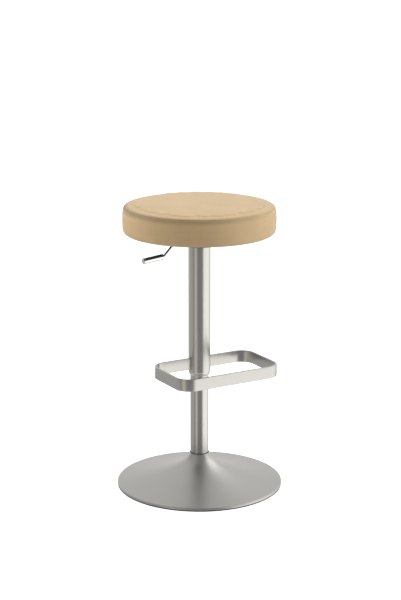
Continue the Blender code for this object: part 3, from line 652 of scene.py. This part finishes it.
# ---------------------------------------------------------------- lever
def make_lever():
    grip_start, grip_tip = Vector((-0.1130, 0, 0.6651)), Vector((-0.1752, 0, 0.6587))
    pivot = Vector((-0.030, 0, SEAT_LOW_Z - 16 * MM))
    grip_way = (grip_tip - grip_start).normalized()
    elbow = grip_start - grip_way * (2.8 * MM)
    knee = Vector((elbow.x + pivot.z - elbow.z, 0, pivot.z))  # the rod rises at 45 degrees
    corners = [Vector((3.5 * MM, 0, pivot.z)), knee, elbow, grip_start + grip_way * (12 * MM)]
    radius = 4 * MM
    chrome = FINISHES["chrome"]
    rod = swept("lever_rod_bright", bent_route(corners, 6 * MM), round_section(radius, 28), along_y, chrome)
    length = 10 * MM
    boss_outline = eased(
        [
            (5.8 * MM, length, 0.6 * MM),
            (5.8 * MM, -length, 0.6 * MM),
            (2.8 * MM, -length, 0),
            (2.8 * MM, length, 0),
        ]
    )
    upright = Matrix.Translation(pivot) @ Matrix.Rotation(pi / 2, 4, "X")
    boss = turned("lever_boss", boss_outline, chrome, 48, upright)
    joined(rod, boss)
    seats_on(rod, "lever", "chrome", "lever_rod")

    length = (grip_tip - grip_start).length
    grip_radius = 8.1 * MM
    nose = arc((grip_radius - 3 * MM, length - 3 * MM), 3 * MM, 90, 0, 8)
    heel = arc((grip_radius - 2 * MM, 2 * MM), 2 * MM, 0, -90, 6)
    socket = radius + 0.3 * MM
    groove_z, groove = length - 6.5 * MM, 0.35 * MM
    bore_depth = 12.5 * MM
    ring = [
        (grip_radius, groove_z + 2 * groove),
        (grip_radius - groove, groove_z + groove),
        (grip_radius - groove, groove_z),
        (grip_radius, groove_z - groove),
    ]
    outline = [(0, length), *nose, *ring, *heel, (socket, 0), (socket, bore_depth), (0, bore_depth)]
    turn = Matrix.Translation(grip_start) @ grip_way.to_track_quat("Z", "Y").to_matrix().to_4x4()
    grip = turned("lever_grip_bright", outline, chrome, 64, turn)
    seats_on(grip, "lever", "chrome", "lever_grip")


# ---------------------------------------------------------------- under the seat
def make_seat_plate():
    def z(depth):
        return SEAT_LOW_Z - depth

    low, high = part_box("seat_plate")
    flange_radius, thickness = high.x, 2.5 * MM
    flange_top, web_top, socket_low = SEAT_LOW_Z - high.z, 28.5 * MM, SEAT_LOW_Z - low.z
    socket_radius = 18.5 * MM
    outline = eased(
        [
            (flange_radius, z(flange_top), 0.8 * MM),
            (flange_radius, z(flange_top + thickness), 0.8 * MM),
            (75.7 * MM, z(flange_top + thickness), 2.0 * MM),
            (65.5 * MM, z(web_top + thickness), 4.0 * MM),
            (socket_radius, z(web_top + thickness), 2.5 * MM),
            (socket_radius, z(socket_low), 0.8 * MM),
            (14.3 * MM, z(socket_low), 0),
            (13.9 * MM, z(web_top), 0.5 * MM),
            (64.0 * MM, z(web_top), 2.0 * MM),
            (74.0 * MM, z(flange_top), 2.0 * MM),
        ],
        steps=5,
    )
    black = FINISHES["black_steel"]
    plate = turned("seat_plate_pressing", outline, black, ROUND_SMALL)
    slot_half, slot_round = 5.8 * MM, 3 * MM
    slot_outline = eased(
        [
            (slot_half, z(5 * MM), slot_round),
            (slot_half, z(27.5 * MM), slot_round),
            (-slot_half, z(27.5 * MM), slot_round),
            (-slot_half, z(5 * MM), slot_round),
        ]
    )
    route = [(Vector((-0.085, 0, 0)), Vector((1, 0, 0))), (Vector((-0.055, 0, 0)), Vector((1, 0, 0)))]
    slot = swept("lever_slot", route, slot_outline, along_y, black)
    holes = []
    for i in range(1, 5):
        bolt_low, bolt_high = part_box(f"seat_bolt_{i}")
        middle = (bolt_low + bolt_high) / 2
        hole = [(3.3 * MM, SEAT_LOW_Z), (3.3 * MM, z(8 * MM)), (0, z(8 * MM)), (0, SEAT_LOW_Z)]
        place = Matrix.Translation((middle.x, middle.y, 0))
        holes.append(turned(f"bolt_hole_{i}", hole, black, 24, place))
    cut_by(plate, slot, *holes)
    seats_on(plate, "carriage", "black_steel", "seat_plate")


def make_seat_bolts():
    """Hexagon heads with a washer face, on the CAD bolts' places."""
    for i in range(1, 5):
        low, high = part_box(f"seat_bolt_{i}")
        middle = (low + high) / 2
        place = Matrix.Translation((middle.x, middle.y, 0))
        head_high = low.z + 3.9 * MM
        shank = [
            (0, high.z),
            (2.6 * MM, high.z),
            (3.0 * MM, high.z - 0.5 * MM),
            (3.0 * MM, head_high),
            (5.2 * MM, head_high),
            (5.4 * MM, head_high - 0.5 * MM),
            (0, head_high - 0.5 * MM),
        ]
        bolt = turned(f"seat_bolt_hex_{i}", shank, FINISHES["zinc_steel"], 48, place)
        bm = bmesh.new()
        bmesh.ops.create_cone(
            bm,
            cap_ends=True,
            segments=6,
            radius1=5.5 * MM,
            radius2=5.5 * MM,
            depth=head_high - 0.5 * MM - low.z,
            matrix=place @ Matrix.Translation((0, 0, (head_high - 0.5 * MM + low.z) / 2)),
        )
        bmesh.ops.bevel(bm, geom=list(bm.edges), offset=0.35 * MM, segments=2, affect="EDGES")
        head = piece_of(f"bolt_head_{i}", bm, FINISHES["zinc_steel"], sharp=25)
        joined(bolt, head)
        seats_on(bolt, "carriage", "zinc_steel", f"seat_bolt_{i}")


def make_dust_cover():
    """A disc of black cloth stretched over the board's underside, with a ring of staples."""
    low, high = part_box("dust_cover")
    radius, hole = high.x, 72 * MM
    middle_z = (low.z + high.z) / 2
    rings, faces = 34, ROUND
    bolt_places = []
    for i in range(1, 5):
        bolt_low, bolt_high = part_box(f"seat_bolt_{i}")
        bolt_places.append(((bolt_low.x + bolt_high.x) / 2, (bolt_low.y + bolt_high.y) / 2))
    bm = bmesh.new()
    rows = []
    for i in range(rings + 1):
        reach = hole + (radius - hole) * i / rings
        row = []
        for k in range(faces):
            turn = 2 * pi * k / faces
            x, y = reach * cos(turn), reach * sin(turn)
            slack = sin(pi * i / rings)
            ripple = noise.noise(Vector((x * 28, y * 28, 3.0)))
            pucker = 0.10 * sin(36 * turn) * exp(-(radius - reach) / (9 * MM))
            row.append(bm.verts.new((x, y, middle_z + MM * (0.22 * slack * ripple + pucker))))
        rows.append(row)
    for here, there in zip(rows, rows[1:]):
        bridge(bm, here, there)
    cloth = piece_of("dust_cloth", bm, FINISHES["black_fabric"])
    thicken = cloth.modifiers.new("Thickness", "SOLIDIFY")
    thicken.thickness = 0.25 * MM
    thicken.offset = 0
    applied(cloth)
    holes = []
    for i, (x, y) in enumerate(bolt_places):
        rim = [(3.4 * MM, high.z + MM), (3.4 * MM, low.z - MM), (0, low.z - MM), (0, high.z + MM)]
        place = Matrix.Translation((x, y, 0))
        holes.append(turned(f"cloth_hole_{i}", rim, FINISHES["black_fabric"], 20, place))
    cut_by(cloth, *holes)
    seats_on(cloth, "carriage", "black_fabric", "dust_cover")

    count = 30
    wire, crown, reach = 0.35 * MM, 10 * MM, radius - 5 * MM
    staples = []
    corners = ((wire, wire), (wire, -wire), (-wire, -wire), (-wire, wire))
    section = eased([(a, b, 0.15 * MM) for a, b in corners], 2)
    for i in range(count):
        turn = 2 * pi * (i + 0.5) / count + 0.02 * sin(7.0 * i)
        lean = turn + pi / 2 + 0.25 * sin(3.1 * i)
        centre = Vector((reach * cos(turn), reach * sin(turn), low.z - 0.2 * MM))
        along = Vector((cos(lean), sin(lean), 0)) * crown / 2
        leg = Vector((0, 0, 1.2 * MM))
        ends = [centre - along + leg, centre - along, centre + along, centre + along + leg]
        route = bent_route(ends, 0.5 * MM, 4)
        across = Vector((-sin(lean), cos(lean), 0))
        zinc = FINISHES["zinc_steel"]
        staples.append(swept(f"staple_{i}", route, section, lambda way, a=across: a, zinc))
    ring = joined(*staples)
    ring.name = "dust_cloth_staples"
    seats_on(ring, "carriage", "zinc_steel")


# ---------------------------------------------------------------- upholstery
HEM_RADIUS = 180 * MM


def cushion_profile():
    """(radius, z) from the crown's middle over the seam, the bulging side and under to the hem."""
    top = SEAT_TOP_Z
    panel = [(0, 0), (60, 0.2), (110, 0.8), (150, 1.6), (178, 2.9), (190, 4.1), (198, 5.8), (202, 6.8)]
    panel = [(radius * MM, top - drop * MM) for radius, drop in panel]
    low = SEAT_LOW_Z
    side = [(207.0, 71.0), (209.0, 65.0), (210.3, 57.5), (211.1, 47.0), (211.2, 38.0), (211.0, 27.0)]
    side += [(210.7, 17.0), (209.9, 9.5), (208.2, 4.4), (205.6, 1.5), (202.0, 0.3), (196.0, 0.0)]
    side = [(radius * MM, low + z * MM) for radius, z in side]
    return [*panel, SEAM, *side, (HEM_RADIUS, low)]


def spline_through(points, spacing):
    """Evenly spaced points on a Catmull-Rom curve through the given ones."""
    knots = [Vector(p) for p in points]
    knots = [2 * knots[0] - knots[1], *knots, 2 * knots[-1] - knots[-2]]
    dense = []
    for a, b, c, d in zip(knots, knots[1:], knots[2:], knots[3:]):
        for i in range(24):
            t = i / 24
            square, cube = (a * 2 - b * 5 + c * 4 - d) * t**2, (b * 3 - a - c * 3 + d) * t**3
            place = b * 2 + (c - a) * t + square + cube
            dense.append(place / 2)
    dense.append(knots[-2])
    travelled = [0.0]
    for here, there in zip(dense, dense[1:]):
        travelled.append(travelled[-1] + (there - here).length)
    count = ceil(travelled[-1] / spacing)
    even, at = [], 0
    for i in range(count + 1):
        want = travelled[-1] * i / count
        while at < len(dense) - 2 and travelled[at + 1] < want:
            at += 1
        span = travelled[at + 1] - travelled[at]
        even.append(dense[at].lerp(dense[at + 1], (want - travelled[at]) / span if span else 0))
    return even


def inflated(name, outline, voxel, pressure, cap, pinned_below):
    """Blows a turned shape up as cloth, holding everything below a height, and returns its surface."""
    start = turned(name, outline, FINISHES["tan_leather"], 72)
    remesh = start.modifiers.new("Voxels", "REMESH")
    remesh.mode = "VOXEL"
    remesh.voxel_size = voxel
    applied(start)
    rest = [v.co.copy() for v in start.data.vertices]
    pins = start.vertex_groups.new(name="pins")
    pins.add([v.index for v in start.data.vertices if v.co.z < pinned_below], 1.0, "REPLACE")
    cloth = start.modifiers.new("Cloth", "CLOTH")
    settings = cloth.settings
    settings.quality = 6
    settings.mass = 0.35
    settings.tension_stiffness = settings.compression_stiffness = 20
    settings.shear_stiffness = 10
    settings.bending_stiffness = 2
    settings.use_pressure = True
    settings.uniform_pressure_force = pressure
    settings.vertex_group_mass = "pins"
    settings.effector_weights.gravity = 0
    cloth.point_cache.frame_start, cloth.point_cache.frame_end = 1, 20
    scene = bpy.context.scene
    for step in range(1, 21):
        scene.frame_set(step)
    applied(start)
    scene.frame_set(1)
    for vertex, place in zip(start.data.vertices, rest):
        moved = vertex.co - place
        if moved.length > cap:
            vertex.co = place + moved.normalized() * cap
    smooth = start.modifiers.new("Finer", "SUBSURF")
    smooth.levels = smooth.render_levels = 1
    applied(start)
    mesh = start.data
    tree = BVHTree.FromPolygons([v.co for v in mesh.vertices], [p.vertices for p in mesh.polygons])
    bpy.data.objects.remove(start)
    return tree


def sewn_relief(turn, from_seam, under):
    """How far the seam's groove, roll and puckers and the hem's pleats lift the cover.

    from_seam is the way travelled over the surface past the seam, under that past the bottom edge.
    """
    wander = noise.noise(Vector((cos(turn) * 5, sin(turn) * 5, 1.7)))
    depth = 2.4 * MM * (1 + 0.3 * wander)
    groove = -depth * exp(-((from_seam / (1.3 * MM)) ** 2))
    roll = 0.5 * MM * exp(-(((from_seam + 4 * MM) / (2.5 * MM)) ** 2))
    gather = noise.noise(Vector((cos(turn) * 34, sin(turn) * 34, from_seam * 55)))
    pucker = 0.28 * MM * gather * exp(-abs(from_seam) / (11 * MM))
    pleat = 0.0
    if under > 0:
        pleat = 0.45 * MM * sin(52 * turn + 2.5 * wander) * min(under / (14 * MM), 1.0)
    return groove + roll + pucker - abs(pleat)


def make_cushion():
    """The cover and its foam as one padded form, wrapped round the board's edge."""
    profile = spline_through(cushion_profile(), 3.0 * MM)
    surface = None
    tight = []
    for point in profile:
        lowered = 1.5 * MM if point.y > SEAT_LOW_Z + 30 * MM else 0
        tight.append((max(point.x - 3.5 * MM, 0), point.y - lowered))
    tight.append((0, SEAT_LOW_Z))
    surface = inflated("cushion_blank", tight, 5 * MM, 4.0, 7 * MM, SEAT_LOW_Z + 6 * MM)

    centre = Vector((0, 0, (SEAT_LOW_Z + SEAT_TOP_Z) / 2))
    seam_place = Vector(SEAM)
    fine = spline_through(cushion_profile(), 1.6 * MM)
    travelled = [0.0]
    for here, there in zip(fine, fine[1:]):
        travelled.append(travelled[-1] + (there - here).length)
    nearest = min(range(len(fine)), key=lambda i: (fine[i] - seam_place).length)
    seam_at = travelled[nearest]
    end_at = travelled[-1]

    faces = 240
    bm = bmesh.new()
    rows = []
    for i, point in enumerate(fine):
        if point.x < 1e-6:
            rows.append([bm.verts.new((0, 0, point.y))])
            continue
        ahead, behind = fine[min(i + 1, len(fine) - 1)], fine[max(i - 1, 0)]
        way = (ahead - behind).normalized()
        outward = Vector((-way.y, way.x))
        if outward.dot(point - Vector((0, centre.z))) < 0:
            outward = -outward
        from_seam = travelled[i] - seam_at
        row = []
        for k in range(faces):
            turn = 2 * pi * k / faces
            spot = Vector((point.x * cos(turn), point.x * sin(turn), point.y))
            lift = 0.0
            if surface is not None and travelled[i] < end_at - 22 * MM:
                ray = spot - centre
                hit = surface.ray_cast(centre, ray.normalized())[0]
                if hit is not None:
                    lift = max(-1.4 * MM, min(1.4 * MM, (hit - centre).length - ray.length))
            slack = 0.25 * MM * noise.noise(spot * 9)
            out = lift + sewn_relief(turn, from_seam, travelled[i] - (end_at - 26 * MM)) + slack
            way_out = Vector((outward.x * cos(turn), outward.x * sin(turn), outward.y))
            row.append(bm.verts.new(spot + way_out * out))
        rows.append(row)

    skin = 1.5 * MM
    inside = [
        (HEM_RADIUS, SEAT_LOW_Z + skin),
        (BOARD_RADIUS + 0.6 * MM, SEAT_LOW_Z + skin),
        (BOARD_RADIUS + 0.6 * MM, BOARD_TOP_Z + 0.3 * MM),
        (0, BOARD_TOP_Z + 0.3 * MM),
    ]
    rows += [ring_at(bm, radius, z, faces) for radius, z in inside]
    for here, there in zip(rows, rows[1:]):
        bridge(bm, here, there)
    cushion = piece_of("seat_cushion", bm, FINISHES["tan_leather"], sharp=75)
    seats_on(cushion, "carriage", "tan_leather", "seat_cover", "seat_foam")


# ---------------------------------------------------------------- camera, floor and light
CAMERA_AZIMUTH = radians(-30)
CAMERA_PITCH = radians(14.22)
CAMERA_DISTANCE = 4.30
CAMERA_HEIGHT = 1.620
CAMERA_SIDE = 3 * MM
LENS = 96.72
TO_CAMERA = Vector((sin(CAMERA_AZIMUTH), -cos(CAMERA_AZIMUTH), 0))
TO_RIGHT = Vector((cos(CAMERA_AZIMUTH), sin(CAMERA_AZIMUTH), 0))


def make_camera():
    data = bpy.data.cameras.new("camera")
    data.lens = LENS
    camera = bpy.data.objects.new("camera", data)
    bpy.context.scene.collection.objects.link(camera)
    camera.location = TO_CAMERA * CAMERA_DISTANCE + TO_RIGHT * CAMERA_SIDE + Vector((0, 0, CAMERA_HEIGHT))
    looking = Vector((0, 0, -sin(CAMERA_PITCH))) - TO_CAMERA * cos(CAMERA_PITCH)
    camera.rotation_euler = looking.to_track_quat("-Z", "Y").to_euler()
    bpy.context.scene.camera = camera


def plane(name, half, z, finish):
    bm = bmesh.new()
    bmesh.ops.create_grid(bm, x_segments=1, y_segments=1, size=half)
    bmesh.ops.translate(bm, vec=(0, 0, z), verts=bm.verts)
    return piece_of(name, bm, finish)


def pale_finish(name, albedo, glow):
    made, _, shader, _ = new_finish(name, Roughness=0.9, Specular_IOR_Level=0.0)
    shader.inputs["Base Color"].default_value = (albedo, albedo, albedo, 1)
    shader.inputs["Emission Color"].default_value = (1, 1, 1, 1)
    shader.inputs["Emission Strength"].default_value = glow
    return made


def make_floor():
    """A white floor for the camera, and under it the card that throws light back up at the stool."""
    floor = plane("floor", 60, -0.5 * MM, pale_finish("floor_white", 0.80, 0.75))
    floor.visible_diffuse = floor.visible_glossy = floor.visible_shadow = False
    card = plane("bounce_card", 12, -2 * MM, pale_finish("card_grey", 0.55, 0.0))
    card.visible_camera = card.visible_glossy = False


# Reflected studio: azimuth in degrees from the camera to its right, and its half width; elevation
# and its half height; softness of the edges; radiance.
PANELS = (
    ("backdrop", 180, 62, 4, 20, 12, (0.95, 0.95, 0.95)),
    ("backdrop_above", 180, 80, 50, 32, 14, (0.78, 0.78, 0.78)),
    ("right_panel", 82, 43, -23, 36, 9, (1.43, 1.43, 1.39)),
    ("right_rear_panel", 112, 37, 42, 20, 8, (1.75, 1.75, 1.71)),
    ("right_far", 130, 24, -10, 36, 14, (0.85, 0.85, 0.83)),
    ("left_far", -105, 42, -26, 32, 10, (0.52, 0.52, 0.51)),
    ("left_warm_card", -38, 15, -26, 32, 10, (0.86, 0.79, 0.73)),
    ("overhead", 0, 200, 82, 20, 9, (0.50, 0.49, 0.48)),
    ("left_high", -80, 50, 48, 26, 14, (0.55, 0.54, 0.52)),
    ("underneath", 0, 200, -75, 38, 14, (0.85, 0.85, 0.84)),
)
GLOOM = 0.28  # radiance between the panels


def make_world():
    world = bpy.data.worlds.new("studio")
    bpy.context.scene.world = world
    world.use_nodes = True
    nodes = Nodes(world.node_tree)
    background = world.node_tree.nodes["Background"]
    way = nodes.add("ShaderNodeTexCoord").outputs["Generated"]
    facing = nodes.vector("DOT_PRODUCT", way, TO_CAMERA, output="Value")
    right = nodes.vector("DOT_PRODUCT", way, TO_RIGHT, output="Value")
    height = nodes.add("ShaderNodeSeparateXYZ", {0: way}).outputs["Z"]
    azimuth = nodes.math("MULTIPLY", nodes.math("ARCTAN2", right, facing), 180 / pi)
    elevation = nodes.math("MULTIPLY", nodes.math("ARCSINE", height), 180 / pi)
    light = (GLOOM, GLOOM, GLOOM)
    for _, middle, half, up, half_up, soft, radiance in PANELS:
        turned_by = nodes.math("WRAP", nodes.math("SUBTRACT", azimuth, middle), 180.0, -180.0)
        aside = nodes.math("ABSOLUTE", turned_by)
        across = nodes.ranged(aside, half - soft, half + soft, 1.0, 0.0, "SMOOTHSTEP")
        above = nodes.math("ABSOLUTE", nodes.math("SUBTRACT", elevation, up))
        upright = nodes.ranged(above, half_up - soft, half_up + soft, 1.0, 0.0, "SMOOTHSTEP")
        glow = nodes.dimmed(radiance, nodes.math("MULTIPLY", across, upright))
        light = nodes.vector("MAXIMUM", light, glow)
    nodes.feed(background.inputs["Color"], light)
    background.inputs["Strength"].default_value = 1.0


def make_backdrop():
    """A white dome that only the camera sees."""
    bm = bmesh.new()
    bmesh.ops.create_icosphere(bm, subdivisions=4, radius=70)
    made = bpy.data.materials.new("backdrop_white")
    made.use_nodes = True
    shader = made.node_tree.nodes["Principled BSDF"]
    shader.inputs["Base Color"].default_value = (0, 0, 0, 1)
    shader.inputs["Emission Color"].default_value = (1, 1, 1, 1)
    shader.inputs["Emission Strength"].default_value = 1.1
    dome = piece_of("backdrop", bm, made)
    dome.visible_diffuse = dome.visible_glossy = dome.visible_shadow = dome.visible_transmission = False


def soft_light(name, place, aim, size, power):
    data = bpy.data.lights.new(name, "AREA")
    data.shape = "RECTANGLE"
    data.size, data.size_y = size
    data.energy = power
    lamp = bpy.data.objects.new(name, data)
    bpy.context.scene.collection.objects.link(lamp)
    lamp.location = place
    lamp.rotation_euler = (Vector(aim) - Vector(place)).to_track_quat("-Z", "Y").to_euler()
    lamp.visible_glossy = False
    lamp.visible_camera = False


def make_lights():
    middle = Vector((0, 0, 0.5))
    soft_light("top_light", Vector((0, 0, 3.0)) - TO_CAMERA * 0.4, middle, (2.4, 2.4), 14)
    left = -TO_RIGHT * 2.3 + TO_CAMERA * 0.1 + Vector((0, 0, 1.5))
    right = TO_RIGHT * 2.3 + TO_CAMERA * 0.9 + Vector((0, 0, 1.5))
    soft_light("left_light", left, middle + Vector((0, 0, 0.2)), (1.2, 1.8), 29)
    soft_light("right_light", right, middle + Vector((0, 0, 0.2)), (1.2, 1.8), 22)


# ---------------------------------------------------------------- the whole scene
make_camera()
dress_frame()
make_base()
make_column()
make_footrest()
make_lever()
make_seat_plate()
make_seat_bolts()
make_dust_cover()
make_cushion()
make_floor()
make_backdrop()
make_world()
make_lights()
bpy.context.scene.view_settings.view_transform = "Standard"
